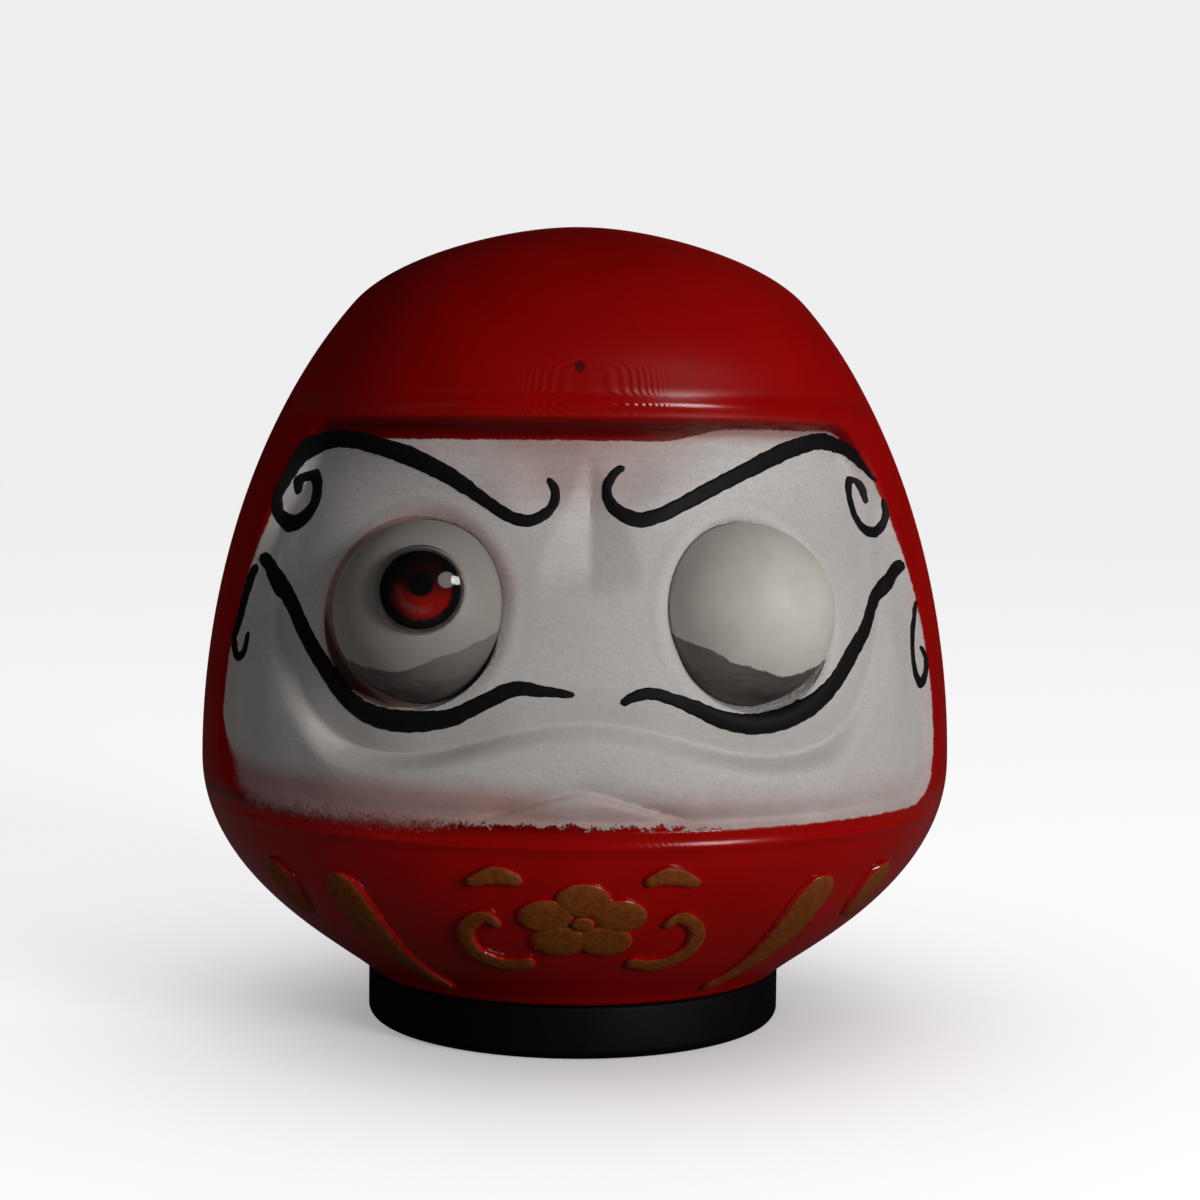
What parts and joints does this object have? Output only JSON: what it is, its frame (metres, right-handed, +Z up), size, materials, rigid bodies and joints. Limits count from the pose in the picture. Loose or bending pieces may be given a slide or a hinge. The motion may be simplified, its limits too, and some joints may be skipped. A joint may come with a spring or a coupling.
{
  "type": "daruma doll",
  "caption": "Hollow round wishing doll with a hooded head, a painted scowling face, inset ball eyes and a flat weighted foot.",
  "frame": {"origin": "centre of the foot's flat underside, on the surface the doll stands on", "axes": "+Z up the doll, the face looks along -Y, +X to the doll's left hand"},
  "size_m": [0.1232, 0.1238, 0.1304],
  "materials": {
    "red_paint": "glossy red paint over a 3-D print",
    "foot_black": "satin black paint",
    "ballast_steel": "plain steel disc",
    "dowel_wood": "plain beech pin",
    "eye_white": "off-white ball under clear gloss",
    "iris_red": "painted iris",
    "clear_resin": "clear domed resin",
    "face_white": "brushed white paint, thin over the red",
    "brush_black": "brushed black paint",
    "gold_paint": "dull gold paint"
  },
  "bodies": {
    "root": {"front_shell": "red_paint", "rear_shell": "red_paint", "foot": "foot_black", "ballast_disc": "ballast_steel", "dowel_upper_left": "dowel_wood", "dowel_upper_right": "dowel_wood", "dowel_lower_left": "dowel_wood", "dowel_lower_right": "dowel_wood", "eye_ball_left": "eye_white", "eye_ball_right": "eye_white", "iris_left": "iris_red", "cornea_left": "clear_resin"}
  },
  "joints": []
}
